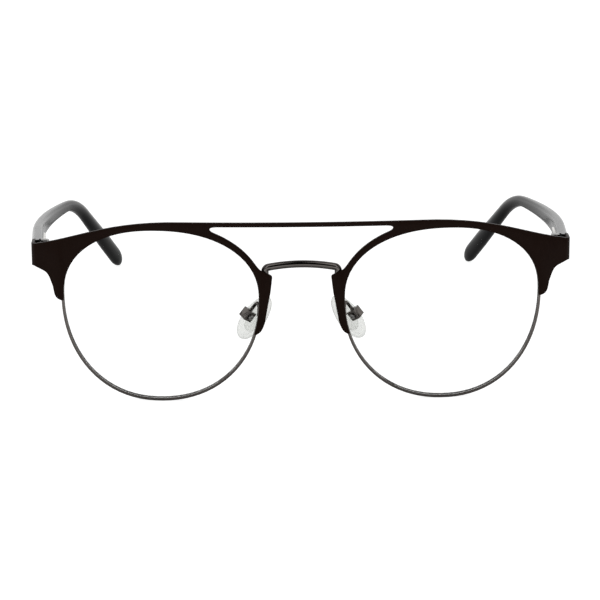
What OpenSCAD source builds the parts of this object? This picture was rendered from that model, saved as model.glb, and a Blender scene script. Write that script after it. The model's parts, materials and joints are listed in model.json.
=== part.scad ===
// Round double-bridge eyeglass frame, in millimetres.
// It stands on a table: +Z is up, the front faces -Y and the temples run back along +Y.
// The origin is under the middle of the frame, level with the lowest points of rims and tips.
// Left and right are the wearer's, so the left side is at +X.

/* [Front] */
// Reach of each endpiece beyond the lens
endpiece_reach = 8.05; // [7.3:0.05:8.9]
// Radius of the front's wrap, seen from above
wrap_r = 350; // [300:10:500]
// Thickness of the brow plate's sheet
plate_t = 0.8; // [0.6:0.05:1]
// Outer radius of the bend at each endpiece
corner_r = 1.5; // [1.2:0.1:2]
// Height of the thin bar that crosses the nose
bar_h = 1.1; // [0.9:0.1:1.4]
// Width of the brow plate above the lens
brow_w = 2.25; // [2:0.05:2.6]
// Height of the endpiece where it meets the temple
endpiece_h = 5.5; // [5.2:0.1:6]
// Drop of the endpiece's top below the bar's top
endpiece_drop = 6.6; // [6:0.1:7.2]
// Width of the brow plate's arm beside the slot
arm_w = 1.65; // [1.4:0.05:1.9]
// Width of the shoulder that hides the end of the lower bridge
shoulder_w = 4.2; // [4:0.1:4.4]

/* [Lenses] */
// Distance between the two lenses
bridge_w = 21.9; // [21:0.1:23]
// Lens from its centre to its nose side
lens_nose_w = 25.8; // [25:0.1:26.5]
// Lens from its centre to its temple side
lens_temple_w = 23.9; // [23.4:0.1:24.4]
// Lens from its centre to its top
lens_up_h = 17.5; // [16.5:0.1:18.5]
// Lens from its centre to its bottom
lens_low_h = 26.9; // [25:0.1:28]
// Thickness of the clear lens
lens_t = 1.4; // [1.2:0.1:1.6]

/* [Rims] */
// Thickness of the rim's wall, seen from the front
rim_t = 0.68; // [0.6:0.02:0.8]
// Depth of the rim from front to back
rim_d = 1.8; // [1.7:0.1:2.2]
// Depth of the lens groove in the rim's wall
groove_d = 0.3; // [0.2:0.05:0.35]
// Width of the lens groove
groove_w = 0.7; // [0.6:0.05:0.9]
// Width of the cut that lets the rim open
split_w = 0.15; // [0.1:0.05:0.25]
// Height of the rim's cut above the lens centre
split_up = 3.3; // [3:0.1:3.6]
// Height of each half of the closing block
block_h = 2; // [1.6:0.1:2.2]
// Width of the closing block
block_w = 1.9; // [1.7:0.1:2]
// Radius of the closing screw
rim_screw_r = 0.5; // [0.4:0.05:0.55]

/* [Bridge] */
// Radius of the lower bridge's wire
bridge_r = 0.94; // [0.8:0.02:1]
// Radius of the lower bridge's arch, seen from the front
bridge_arch_r = 46; // [40:1:60]
// Height of the lower bridge's crown above the lens centre
bridge_up = 8.6; // [8.4:0.1:8.9]
// Distance of the lower bridge's legs from the middle
leg_x = 9.3; // [9:0.1:9.5]
// Length of each leg of the lower bridge, behind the brow plate's shoulder
leg_l = 2; // [1.6:0.1:2.4]

/* [Nose pads] */
// Length of a nose pad
pad_l = 13.2; // [12.4:0.2:14]
// Width of a nose pad
pad_w = 7.5; // [7.2:0.1:7.8]
// Thickness of a nose pad at its middle
pad_t = 2.6; // [2.4:0.1:3]
// Distance of each pad's centre from the middle of the nose
pad_x = 11.8; // [11.6:0.1:12.2]
// Depth of each pad's centre behind the front
pad_back = 9; // [8.6:0.1:9.6]
// Height of each pad's centre below the lens centre
pad_down = 7.5; // [7.2:0.1:7.8]
// Lean of the pads, with their upper ends closer together
pad_lean = 37; // [34:1:40]
// Splay of the pads, with their rear edges further apart
pad_splay = 38; // [35:1:42]
// Radius of the pad arm's wire
arm_r = 0.45; // [0.35:0.05:0.55]
// Side of the pad box
box_s = 2.6; // [2.5:0.1:2.8]
// Thickness of the pad's lug
lug_t = 1; // [0.8:0.1:1.1]
// Radius of the rounded end of the pad's lug
lug_r = 0.95; // [0.85:0.05:1]
// Radius of the pad screw
pad_screw_r = 0.4; // [0.35:0.05:0.45]

/* [Hinges] */
// Distance of the hinge pin in from the endpiece's outer face
pin_in = 3.1; // [3:0.1:3.3]
// Depth of the hinge pin behind the front at the middle
pin_back = 13.4; // [12.8:0.1:14.2]
// Radius of the hinge knuckles
knuckle_r = 1.25; // [1.15:0.05:1.3]
// Radius of the hinge screw
hinge_screw_r = 0.7; // [0.6:0.05:0.75]
// Height of the middle knuckle, which turns with the temple
mid_knuckle_h = 1.6; // [1.4:0.1:1.8]
// Height of each of the two knuckles on the front
end_knuckle_h = 1.15; // [1:0.05:1.2]

/* [Spring] */
// Length of the spring housing
housing_l = 18.5; // [17.5:0.5:20]
// Width of the spring housing
housing_w = 2.2; // [2.1:0.05:2.3]
// Height of the spring housing
housing_h = 2.9; // [2.6:0.1:3]
// Radius of the slider's rod
rod_r = 0.45; // [0.4:0.05:0.5]
// Radius of the spring's wire
spring_wire_r = 0.11; // [0.09:0.01:0.12]
// Turns of the spring
spring_turns = 10; // [8:1:12]
// Length of the spring at rest
spring_l = 9.6; // [9:0.2:10.4]

/* [Temples] */
// Depth of the ear bend behind the hinge pin
bend_back = 87.5; // [84:0.5:91]
// Radius of the ear bend
bend_r = 37; // [30:1:45]
// Slope of the temple from the hinge down to the ear
temple_slope = 5.7; // [5:0.1:6.4]
// Slope of the temple's tip
tip_slope = 35.6; // [33:0.2:38]
// Splay of the temple's front part, outwards
temple_splay = 4; // [3:0.5:4.5]
// Distance behind the pin at which the temple starts to curve inwards
curve_from = 22; // [20:1:28]
// Length of that inward curve
curve_l = 71; // [60:1:75]
// Angle by which the temple's tip points inwards
tip_turn = 15; // [13:1:18]
// Thickness of the temple at the hinge
temple_t = 3.1; // [3:0.05:3.2]
// Thickness of the temple before the ear
waist_t = 2.4; // [2.2:0.1:2.6]
// Thickness of the temple's tip
tip_t = 3.2; // [2.8:0.1:3.4]
// Height of the temple at the hinge
temple_h = 5.4; // [5:0.1:5.6]
// Height of the temple before the ear
waist_h = 3; // [2.8:0.1:3.4]
// Height of the temple's tip
tip_h = 5; // [4.6:0.1:5.4]
// Height of the wire core inside the temple
core_h = 1.4; // [1.2:0.1:1.6]
// Thickness of the wire core inside the temple
core_t = 0.7; // [0.6:0.1:0.8]

/* [Fits] */
// Radial clearance of a screw or rod in a part that moves on it
run_gap = 0.03; // [0.02:0.01:0.05]
// Clearance between a fixed part and the part it sits in
seat_gap = 0.02; // [0.01:0.01:0.04]
// Gap between neighbouring knuckles, and between temple and endpiece
fold_gap = 0.1; // [0.08:0.01:0.14]
// Gap between the soft pad and the box behind it
pad_gap = 0.6; // [0.5:0.05:0.7]

/* [Hidden] */
LEFT = 1;
RIGHT = -1;

// Facets of large arcs and of small round parts
fine_fn = 360;
round_fn = 48;
// A length past everything, and the amount by which a cut runs through a face
far = 200;
cut = 0.5;

// Lens outline: four quarters of a rounded oval, each with its own exponent
lens_x = bridge_w / 2 + lens_nose_w;
lens_z = lens_low_h + rim_t;
lens_end_x = lens_x + lens_temple_w;
EXPONENTS = [2.27, 2.2, 2.15, 2.15];
LENS_STEP = 4;
rim_near = plate_t + seat_gap;
lens_mid = rim_near + rim_d / 2;
bridge_depth = sag(leg_x) + rim_near + bridge_r;

// Brow plate: heights, and how far its opening stands back from the rim's inner edge
bar_top = lens_z + lens_up_h + brow_w;
bar_low = bar_top - bar_h;
end_x = lens_end_x + endpiece_reach;
end_top = bar_top - endpiece_drop;
end_low = end_top - endpiece_h;
reveal = 0.08;
corner_x = end_x - corner_r;
corner_y = wrap_r - sqrt(pow(wrap_r - corner_r, 2) - corner_x * corner_x);

// Width of the plate's nose arm outside the lens, by angle round the lens centre
ARM = [
    [201, rim_t - 0.1], [198.5, 1.5], [194, 2], [188, 2.15], [181, 2.6], [175, 3.3],
    [171.7, shoulder_w - 0.35], [169.8, shoulder_w], [168.2, shoulder_w - 0.7], [166.4, arm_w + 0.8],
    [164.2, arm_w + 0.2], [160, arm_w], [150, arm_w + 0.05], [132, arm_w + 0.25]
];

// Closing block and the cut in the rim
split_z = lens_z + split_up;
rim_screw_x = lens_end_x + rim_t + block_w / 2 - 0.25;
block_end_x = rim_screw_x + block_w / 2;
block_d = rim_d + 0.4;
screw_head_h = 0.45;

// Nose pads: the box, the lug and the screw lie behind the pad's back face
box_near = pad_t / 2 + pad_gap;
pad_screw_x = box_near + box_s / 2 - 0.1;
INSERT = [8, 4, 0.6];

// Hinge: the pin's place, and the temple's front end ahead of the pin
pin_x = end_x - pin_in;
pin_z = (end_top + end_low) / 2 - 0.2;
temple_lead = 1.2;
leg_end = pin_back - temple_lead - fold_gap;
leaf_t = 1;
hinge_half = mid_knuckle_h / 2 + fold_gap + end_knuckle_h;
head_h = 0.5;
notch_r = knuckle_r + 0.25;

// Spring box, along the temple behind the pin
rod_x = 1;
housing_front = 2.1;
front_wall = 1;
nut_l = 0.9;
spring_travel = 0.8;
bore_front = housing_front + front_wall;
nut_front = bore_front + spring_l;
rod_end = nut_front + nut_l;
spring_r = rod_r + 0.1 + spring_wire_r;
bore_r = spring_r + spring_wire_r + 0.04;

function sag(x) = wrap_r - sqrt(wrap_r * wrap_r - x * x);
function unit(v) = v / norm(v);
function flip(points) = [for (i = [len(points) - 1:-1:0]) [-points[i].x, points[i].y]];

// Cubic curve with two handles, in n steps
function cubic(a, b, c, d, t) =
    a * pow(1 - t, 3) + 3 * b * t * pow(1 - t, 2) + 3 * c * t * t * (1 - t) + d * pow(t, 3);
function cubic_curve(a, b, c, d, n) = [for (i = [0:n]) cubic(a, b, c, d, i / n)];

// Smooth curve through a list of points, with n steps between neighbours
function smooth_at(p, i, t) =
    let (
        last = len(p) - 1,
        a = p[max(i - 1, 0)],
        b = p[i],
        c = p[min(i + 1, last)],
        d = p[min(i + 2, last)]
    )
    0.5 * (2 * b + (c - a) * t + (2 * a - 5 * b + 4 * c - d) * t * t
        + (3 * b - a - 3 * c + d) * t * t * t);
function smooth_curve(p, n) =
    [for (i = [0:len(p) - 2], j = [0:n - 1]) smooth_at(p, i, j / n), p[len(p) - 1]];

// Lens outline at an angle from its centre, moved outwards by off
function quarter(a) = floor((a % 360 + 360) % 360 / 90);
function lens_point(a) =
    let (
        q = quarter(a),
        w = q == 0 || q == 3 ? lens_temple_w : lens_nose_w,
        h = q < 2 ? lens_up_h : lens_low_h,
        e = EXPONENTS[q],
        r = 1 / pow(pow(abs(cos(a)) / w, e) + pow(abs(sin(a)) / h, e), 1 / e)
    )
    [lens_x + r * cos(a), lens_z + r * sin(a)];
function lens_normal(a) = let (t = unit(lens_point(a + 0.5) - lens_point(a - 0.5))) [t.y, -t.x];
function lens_off(a, off) = lens_point(a) + off * lens_normal(a);
function lens_outline(off) = [for (a = [0:LENS_STEP:359]) lens_off(a, off)];

// Half of the brow plate's outline, from the bar's top to its underside
function top_edge() = cubic_curve(
    [lens_x - 6.5, bar_top], [lens_x + 13.5, bar_top + 0.2],
    [end_x - 11.2, end_top + 1.4], [end_x + 1, end_top], 14);
function wing_edge() = concat(
    [[end_x + 1, end_low], [end_x - 0.6, end_low]],
    cubic_curve([lens_end_x + 4.9, lens_z + 6.4], [lens_end_x + 3.7, lens_z + 5.8],
        [lens_end_x + 3.4, lens_z + 4.2], [lens_end_x + 2.75, lens_z + 2.4], 6),
    cubic_curve([lens_end_x + 2.5, lens_z + 0.9], [lens_end_x + 2.3, lens_z - 0.3],
        [lens_end_x + 1.8, lens_z - 1], [lens_end_x + rim_t, lens_z - 1.25], 5));
function opening_edge() = [for (a = [-3:LENS_STEP:201]) lens_off(a, reveal)];
function arm_edge() = [for (p = smooth_curve(ARM, 5)) lens_off(p.x, p.y)];
function slot_edge() =
    let (q = ARM[len(ARM) - 1], p = lens_off(q.x, q.y))
    cubic_curve(p, p + [1.2, 0.6], [p.x + 1.5, bar_low], [p.x - 0.8, bar_low], 6);
function half_outline() = concat(top_edge(), wing_edge(), opening_edge(), arm_edge(), slot_edge());
function plate_outline() = let (half = half_outline()) concat(half, flip(half));

// A solid from a front outline, and the curved layers that cut it to depth
module front_prism(points) {
    translate([0, far / 2, 0])
        rotate([90, 0, 0])
            linear_extrude(far)
                polygon(points);
}

module drum(depth, spare) {
    translate([0, wrap_r, -spare])
        cylinder(r = wrap_r - depth, h = far / 2 + 2 * spare, $fn = fine_fn);
}

module wrap_layer(near, deep) {
    intersection() {
        difference() {
            drum(near, 0);
            drum(deep, cut);
        }
        translate([-far / 2, -cut, -cut])
            cube(far);
    }
}

// A part drawn for the left side, mirrored for the right, with y = 0 at the front's middle
module on_side(side) {
    translate([0, -depth_all / 2, 0])
        mirror([side == RIGHT ? 1 : 0, 0, 0])
            children();
}

// The bent sheet in plan, at a depth inside its outer face: the wrap, then a bend and a leg
WRAP_STEPS = 24;
BEND_STEPS = 12;
function sheet_half(depth) =
    let (turn = atan2(corner_x, wrap_r - corner_y))
    concat(
        [for (i = [1:WRAP_STEPS])
            let (a = turn * (2 * i - 1) / (2 * WRAP_STEPS - 1))
                [(wrap_r - depth) * sin(a), wrap_r - (wrap_r - depth) * cos(a)]],
        [for (i = [1:BEND_STEPS])
            let (a = turn + (90 - turn) * i / BEND_STEPS)
                [corner_x + (corner_r - depth) * sin(a), corner_y - (corner_r - depth) * cos(a)]],
        [[end_x - depth, leg_end]]
    );
function sheet_curve(depth) = let (half = sheet_half(depth)) concat(flip(half), half);

module bent_sheet() {
    back = [for (p = sheet_curve(plate_t)) [-p.x, p.y]];
    linear_extrude(far)
        polygon(concat(sheet_curve(0), back));
}

module brow_plate() {
    color([0.11, 0.075, 0.055])
        on_side(LEFT)
            intersection() {
                front_prism(plate_outline());
                bent_sheet();
            }
}

// Middle line of the lower bridge: an arch, with an elbow and a leg at each end
ARCH_STEPS = 16;
ELBOW_STEPS = 6;
function bridge_path() =
    let (
        elbow_r = bridge_r + 0.1,
        turn = asin((leg_x - elbow_r) / (bridge_arch_r - elbow_r)),
        arch_z = lens_z + bridge_up - bridge_arch_r,
        elbow = [leg_x - elbow_r, arch_z + (bridge_arch_r - elbow_r) * cos(turn)],
        half = concat(
            [for (i = [1:ARCH_STEPS])
                let (a = turn * (2 * i - 1) / (2 * ARCH_STEPS - 1))
                    [bridge_arch_r * sin(a), arch_z + bridge_arch_r * cos(a)]],
            [for (i = [1:ELBOW_STEPS])
                let (a = turn + (90 - turn) * i / ELBOW_STEPS)
                    [elbow.x + elbow_r * sin(a), elbow.y + elbow_r * cos(a)]],
            [[leg_x, elbow.y - leg_l]]
        )
    )
    [for (p = concat(flip(half), half)) [p.x, bridge_depth, p.y]];

module lower_bridge() {
    color([0.32, 0.3, 0.29])
        on_side(LEFT)
            wire(bridge_path(), bridge_r, [0, 1, 0], 20);
}

module rim(side) {
    color([0.32, 0.3, 0.29])
        on_side(side)
            difference() {
                intersection() {
                    front_prism(lens_outline(rim_t));
                    wrap_layer(rim_near, rim_near + rim_d);
                }
                front_prism(lens_outline(0));
                intersection() {
                    front_prism(lens_outline(groove_d));
                    wrap_layer(lens_mid - groove_w / 2, lens_mid + groove_w / 2);
                }
                translate([lens_x, 0, split_z - split_w / 2])
                    cube([far, far, split_w]);
            }
}

module lens(side) {
    color([0.93, 0.95, 0.95, 0.25])
        on_side(side) {
            intersection() {
                front_prism(lens_outline(-seat_gap));
                wrap_layer(lens_mid - lens_t / 2, lens_mid + lens_t / 2);
            }
            intersection() {
                front_prism(lens_outline(groove_d - seat_gap));
                wrap_layer(lens_mid - groove_w / 2 + seat_gap, lens_mid + groove_w / 2 - seat_gap);
            }
        }
}

// Two half blocks on the rim, one above and one below its cut
module closing_block(side) {
    color([0.32, 0.3, 0.29])
        on_side(side)
            difference() {
                intersection() {
                    wrap_layer(rim_near, rim_near + block_d);
                    for (z = [split_z + split_w / 2, split_z - split_w / 2 - block_h])
                        translate([lens_end_x - 2, 0, z])
                            cube([block_end_x - lens_end_x + 2, 20, block_h]);
                }
                front_prism(lens_outline(rim_t));
                translate([rim_screw_x, rim_screw_y(), 0])
                    cylinder(r = rim_screw_r + seat_gap, h = far, $fn = round_fn);
            }
}

function rim_screw_y() = sag(rim_screw_x) + rim_near + block_d / 2;

module closing_screw(side) {
    top = split_z + split_w / 2 + block_h;
    low = split_z - split_w / 2 - block_h;
    color([0.4, 0.38, 0.37])
        on_side(side)
            translate([rim_screw_x, rim_screw_y(), 0]) {
                translate([0, 0, low])
                    cylinder(r = rim_screw_r, h = top - low + seat_gap, $fn = round_fn);
                difference() {
                    translate([0, 0, top + seat_gap])
                        cylinder(r = rim_screw_r + 0.35, h = screw_head_h, $fn = round_fn);
                    driver_slot(top + seat_gap + screw_head_h, 0.2);
                }
            }
}

// A slot across a screw's head, whose top is at z = top
module driver_slot(top, width) {
    translate([-5, -width / 2, top - 0.22])
        cube([10, width, cut]);
}

// Nose pad frame: x points out of the pad's back, y along its width, z along its length
module pad_frame() {
    translate([pad_x, pad_back, lens_z - pad_down])
        rotate([0, -pad_lean, 0])
            rotate([0, 0, -pad_splay])
                children();
}

function pad_world(p) =
    let (
        x = p.x * cos(pad_splay) + p.y * sin(pad_splay),
        y = -p.x * sin(pad_splay) + p.y * cos(pad_splay)
    )
    [
        pad_x + x * cos(pad_lean) - p.z * sin(pad_lean),
        pad_back + y,
        lens_z - pad_down + x * sin(pad_lean) + p.z * cos(pad_lean)
    ];

// Solid from rings of points that all have the same count, closed at both ends
module skin(rings) {
    n = len(rings[0]);
    count = len(rings);
    points = [for (r = rings, p = r) p];
    sides = [
        for (i = [0:count - 2], j = [0:n - 1])
            let (k = (j + 1) % n, a = i * n + j, b = i * n + k, c = a + n, d = b + n)
                for (f = [[a, d, c], [a, b, d]]) f
    ];
    front = [for (j = [n - 1:-1:0]) j];
    back = [for (j = [0:n - 1]) (count - 1) * n + j];
    polyhedron(points, concat(sides, [front], [back]), convexity = 10);
}

// Direction of a path at a point, and a ring of n points round it, turned by a vector across
function heading(path, i) = unit(path[min(i + 1, len(path) - 1)] - path[max(i - 1, 0)]);
function round_ring(c, t, r, across, n) =
    let (u = unit(cross(t, across)), v = cross(u, t))
    [for (j = [0:n - 1]) c + r * (cos(360 * j / n) * u + sin(360 * j / n) * v)];

module wire(path, r, across, n) {
    skin([for (i = [0:len(path) - 1]) round_ring(path[i], heading(path, i), r, across, n)]);
}

// The pad arm leaves the rim's back, loops up and comes down on the top of the pad box
function arm_path() =
    let (
        root = lens_off(191, rim_t / 2),
        start = [root.x, sag(root.x + arm_r) + rim_near + rim_d + seat_gap, root.y],
        end = pad_world([box_near + box_s / 2, 0, box_s / 2]),
        before = pad_world([box_near + box_s / 2, 0, box_s / 2 + 1.3]),
        crown = (start + before) / 2 + [-0.2, 0.1, 2]
    )
    concat([start], smooth_curve([
        start + [0, 0.4, 0], start + [0, 1.2, 0.6], start + [0, 1.6, 1.9], crown, before, end
    ], 4));

module pad_arm(side) {
    color([0.32, 0.3, 0.29])
        on_side(side)
            wire(arm_path(), arm_r, [1, 0, 0], 10);
}

module pad_box(side) {
    color([0.32, 0.3, 0.29])
        on_side(side)
            pad_frame()
                difference() {
                    translate([box_near, -box_s / 2, -box_s / 2])
                        cube(box_s);
                    translate([box_near - cut, -lug_t / 2 - fold_gap / 2, -box_s])
                        cube([pad_screw_x - box_near + lug_r + fold_gap + cut, lug_t + fold_gap, 2 * box_s]);
                    translate([pad_screw_x, 0, 0])
                        rotate([90, 0, 0])
                            cylinder(r = pad_screw_r + seat_gap, h = far, center = true, $fn = round_fn);
                }
}

module pad_screw(side) {
    color([0.4, 0.38, 0.37])
        on_side(side)
            pad_frame()
                translate([pad_screw_x, box_s / 2, 0])
                    rotate([90, 0, 0]) {
                        cylinder(r = pad_screw_r, h = box_s + seat_gap, $fn = round_fn);
                        difference() {
                            translate([0, 0, box_s + seat_gap])
                                cylinder(r = pad_screw_r + 0.35, h = screw_head_h, $fn = round_fn);
                            driver_slot(box_s + seat_gap + screw_head_h, 0.2);
                        }
                    }
}

// The stiff plate inside the soft pad, grown by gap
module insert_plate(gap) {
    half = INSERT.x / 2 - INSERT.y / 2;
    for (z = [-half, half])
        translate([-INSERT.z / 2 - gap, 0, z])
            rotate([0, 90, 0])
                cylinder(r = INSERT.y / 2 + gap, h = INSERT.z + 2 * gap, $fn = round_fn);
    translate([-INSERT.z / 2 - gap, -INSERT.y / 2 - gap, -half])
        cube([INSERT.z + 2 * gap, INSERT.y + 2 * gap, 2 * half]);
}

// The lug from the plate to the screw, grown by gap
module insert_lug(gap) {
    translate([0, -lug_t / 2 - gap, -lug_r - gap])
        cube([pad_screw_x, lug_t + 2 * gap, 2 * (lug_r + gap)]);
}

module pad_insert(side) {
    color([0.9, 0.9, 0.88, 0.6])
        on_side(side)
            pad_frame()
                difference() {
                    union() {
                        insert_plate(0);
                        insert_lug(0);
                        translate([pad_screw_x, 0, 0])
                            rotate([90, 0, 0])
                                cylinder(r = lug_r, h = lug_t, center = true, $fn = round_fn);
                    }
                    translate([pad_screw_x, 0, 0])
                        rotate([90, 0, 0])
                            cylinder(r = pad_screw_r + run_gap, h = 2 * lug_t, center = true, $fn = round_fn);
                }
}

// Rings of the soft pad, a pillow that is a little wider at its lower end
PAD_RINGS = 10;
PAD_SIDES = 24;
PAD_FULL = 0.65;
PAD_POLE = 4;
function pad_ring(a) =
    [for (j = [0:PAD_SIDES - 1])
        let (
            b = 360 * j / PAD_SIDES,
            r = pow(sin(a), PAD_FULL),
            x = -sign(cos(a)) * pow(abs(cos(a)), PAD_FULL) * pad_t / 2
        )
        [x, -r * sin(b) * (1 - 0.1 * cos(b)) * pad_w / 2, r * cos(b) * pad_l / 2]];

module nose_pad(side) {
    color([0.86, 0.87, 0.85, 0.7])
        on_side(side)
            pad_frame()
                difference() {
                    skin([for (i = [0:PAD_RINGS]) pad_ring(PAD_POLE + (180 - 2 * PAD_POLE) * i / PAD_RINGS)]);
                    insert_plate(seat_gap);
                    insert_lug(seat_gap);
                }
}

// Hinge leaf inside the endpiece, with the upper and lower knuckles
module front_hinge(side) {
    leaf_x = end_x - plate_t - leaf_t;
    color([0.62, 0.6, 0.57])
        on_side(side)
            difference() {
                union() {
                    translate([leaf_x, corner_y, pin_z - hinge_half])
                        cube([leaf_t, leg_end - 0.2 - corner_y, 2 * hinge_half]);
                    for (z = [pin_z - hinge_half, pin_z + hinge_half - end_knuckle_h])
                        translate([0, 0, z])
                            linear_extrude(end_knuckle_h) {
                                translate([pin_x, pin_back])
                                    circle(knuckle_r, $fn = round_fn);
                                polygon([
                                    [leaf_x + cut, corner_y + 0.6], [leaf_x + cut, leg_end - 0.2],
                                    [pin_x + 0.9, pin_back - temple_lead - 0.15], [pin_x + 0.2, pin_back],
                                    [pin_x - knuckle_r * 0.9, pin_back - knuckle_r * 0.4]
                                ]);
                            }
                }
                translate([pin_x, pin_back, 0])
                    cylinder(r = hinge_screw_r + run_gap, h = far, $fn = round_fn);
            }
}

module hinge_screw(side) {
    color([0.7, 0.68, 0.65])
        on_side(side)
            translate([pin_x, pin_back, pin_z]) {
                translate([0, 0, -hinge_half])
                    cylinder(r = hinge_screw_r, h = 2 * hinge_half + run_gap, $fn = round_fn);
                difference() {
                    translate([0, 0, hinge_half + run_gap])
                        cylinder(r = hinge_screw_r + 0.4, h = head_h, $fn = round_fn);
                    driver_slot(hinge_half + run_gap + head_h, 0.25);
                }
            }
}

// Temple frame at the hinge: y runs back along the temple, down its slope and out with its splay
module temple_frame() {
    translate([pin_x, pin_back, pin_z])
        rotate([-temple_slope, 0, -temple_splay])
            children();
}

// A round bar along y in the temple frame
module bar(x, r, from, to) {
    translate([x, from, 0])
        rotate([-90, 0, 0])
            cylinder(r = r, h = to - from, $fn = round_fn);
}

module spring_slider(side) {
    color([0.62, 0.6, 0.57])
        on_side(side)
            difference() {
                union() {
                    translate([pin_x, pin_back, pin_z - mid_knuckle_h / 2])
                        cylinder(r = knuckle_r, h = mid_knuckle_h, $fn = round_fn);
                    temple_frame() {
                        translate([0.3, 0.6, -0.5])
                            cube([rod_x + 0.3, 1.4, 1]);
                        bar(rod_x, rod_r, 1.5, rod_end);
                    }
                }
                translate([pin_x, pin_back, 0])
                    cylinder(r = hinge_screw_r + run_gap, h = far, $fn = round_fn);
            }
}

// Coil of round wire about the slider's rod
COIL_RINGS = 8;
COIL_SIDES = 5;
function coil_path() =
    let (
        from = bore_front + 2 * spring_wire_r,
        to = nut_front - 2 * spring_wire_r,
        n = spring_turns * COIL_RINGS
    )
    [for (i = [0:n])
        let (a = 360 * i / COIL_RINGS)
            [rod_x + spring_r * cos(a), from + (to - from) * i / n, spring_r * sin(a)]];

module coil_spring(side) {
    color([0.7, 0.7, 0.7])
        on_side(side)
            temple_frame()
                wire(coil_path(), spring_wire_r, [0, 1, 0], COIL_SIDES);
}

module spring_nut(side) {
    color([0.7, 0.68, 0.65])
        on_side(side)
            temple_frame()
                difference() {
                    bar(rod_x, bore_r - run_gap, nut_front, rod_end);
                    bar(rod_x, rod_r + seat_gap, nut_front - cut, rod_end + cut);
                }
}

// Outside of the spring housing, with a rounded rear end, grown by gap
module housing_body(gap) {
    r = housing_h / 2 + gap;
    w = housing_w / 2 + gap;
    translate([rod_x - w, housing_front, -r])
        cube([2 * w, housing_l - housing_h / 2, 2 * r]);
    translate([rod_x - w, housing_front + housing_l - housing_h / 2, 0])
        rotate([0, 90, 0])
            cylinder(r = r, h = 2 * w, $fn = round_fn);
}

module spring_housing(side) {
    color([0.78, 0.77, 0.74])
        on_side(side)
            temple_frame()
                difference() {
                    housing_body(0);
                    bar(rod_x, rod_r + run_gap, 0, bore_front + cut);
                    bar(rod_x, bore_r, bore_front, rod_end + spring_travel);
                }
}

// Middle line of the temple: depth behind the pin, and distance outwards from the pin
temple_mid_x = pin_in + 0.35 - temple_t / 2;
bend_tangent = bend_r * tan((tip_slope - temple_slope) / 2);
bend_from = bend_back - bend_tangent * cos(temple_slope);
bend_to = bend_back + bend_tangent * cos(tip_slope);
inward = tan(tip_turn) + tan(temple_splay);
function temple_x(b) =
    let (u = min(max(b - curve_from, 0), curve_l))
    temple_mid_x + b * tan(temple_splay)
        - inward * (u * u / (2 * curve_l) + max(b - curve_from - curve_l, 0));

// Height of the middle line above the hinge's middle
function temple_z(b) =
    b < bend_from ? -b * tan(temple_slope)
    : b > bend_to ? -bend_back * tan(temple_slope) - (b - bend_back) * tan(tip_slope)
    : let (
        centre = bend_from - bend_r * sin(temple_slope),
        low = -bend_from * tan(temple_slope) - bend_r * cos(temple_slope)
    )
    low + sqrt(bend_r * bend_r - pow(b - centre, 2));

// Thickness, height and squareness of the temple by depth behind the pin; 1 is a plain oval
TIP_FULL = 9;
END_L = 6.5;
SQUARE = 0.62;
TIP_SQUARE = 0.95;
function temple_size(b, last) = [
    lookup(b, [[0, temple_t], [24, temple_t], [60, waist_t + 0.2], [bend_back - 8, waist_t],
        [last - TIP_FULL, tip_t], [last, tip_t]]),
    lookup(b, [[0, temple_h], [24, temple_h - 0.3], [bend_back - 8, waist_h],
        [last - TIP_FULL, tip_h], [last, tip_h]]),
    lookup(b, [[60, SQUARE], [bend_back + 10, TIP_SQUARE]])
];

// Stations along the temple: place, heading and size, the last few rounding off its end
STATIONS = 27;
AHEAD = 4;
END_STEPS = 7;
function temple_path(last) =
    [for (i = [0:STATIONS])
        let (b = -AHEAD + (last + AHEAD) * i / STATIONS)
            [pin_x + temple_x(b), pin_back + b, pin_z + temple_z(b)]];
function temple_stations(last) =
    let (
        path = temple_path(last),
        n = len(path) - 1,
        dir = heading(path, n),
        full = temple_size(last, last)
    )
    concat(
        [for (i = [0:n]) [path[i], heading(path, i), temple_size(path[i].y - pin_back, last)]],
        [for (k = [1:END_STEPS])
            let (a = 86 * k / END_STEPS)
                [path[n] + dir * END_L * sin(a), dir, [full.x * cos(a), full.y * cos(a), full.z]]]
    );

// Rounded oblong ring of a station
RING_SIDES = 16;
function soft_cos(a, e) = sign(cos(a)) * pow(abs(cos(a)), e);
function soft_sin(a, e) = sign(sin(a)) * pow(abs(sin(a)), e);
function station_ring(s) =
    let (u = unit(cross(s[1], [0, 0, 1])), v = cross(u, s[1]))
    [for (j = [0:RING_SIDES - 1])
        let (a = 360 * (j + 0.5) / RING_SIDES)
            s[0] + soft_cos(a, s[2].z) * s[2].x / 2 * u + soft_sin(a, s[2].z) * s[2].y / 2 * v];
function temple_rings(last) = [for (s = temple_stations(last)) station_ring(s)];

// The tip is as long as it must be to end at the table, where the rims end too
FIRST_LAST = bend_back + 26;
function lowest(rings) = min([for (r = rings, p = r) p.z]);
tip_last = FIRST_LAST + lowest(temple_rings(FIRST_LAST)) / tan(tip_slope);
RINGS = temple_rings(tip_last);
depth_all = max([for (r = RINGS, p = r) p.y]);

// The wire core, a flat bar from the housing to near the tip's end
CORE_STOP = 7;
function core_stations(grow) =
    [for (s = temple_stations(tip_last))
        let (b = s[0].y - pin_back)
            if (b > housing_front + housing_l - 4 && b < tip_last - CORE_STOP)
                [s[0], s[1], [core_t + grow, core_h + grow]]];
function bar_ring(s) =
    let (u = unit(cross(s[1], [0, 0, 1])), v = cross(u, s[1]))
    [for (q = [[1, 1], [-1, 1], [-1, -1], [1, -1]])
        s[0] + q.x * s[2].x / 2 * u + q.y * s[2].y / 2 * v];

module temple_core(side) {
    color([0.62, 0.6, 0.57])
        on_side(side)
            difference() {
                skin([for (s = core_stations(0)) bar_ring(s)]);
                temple_frame()
                    translate([-5, -5, -5])
                        cube([10, housing_front + housing_l + 5, 10]);
            }
}

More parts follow.
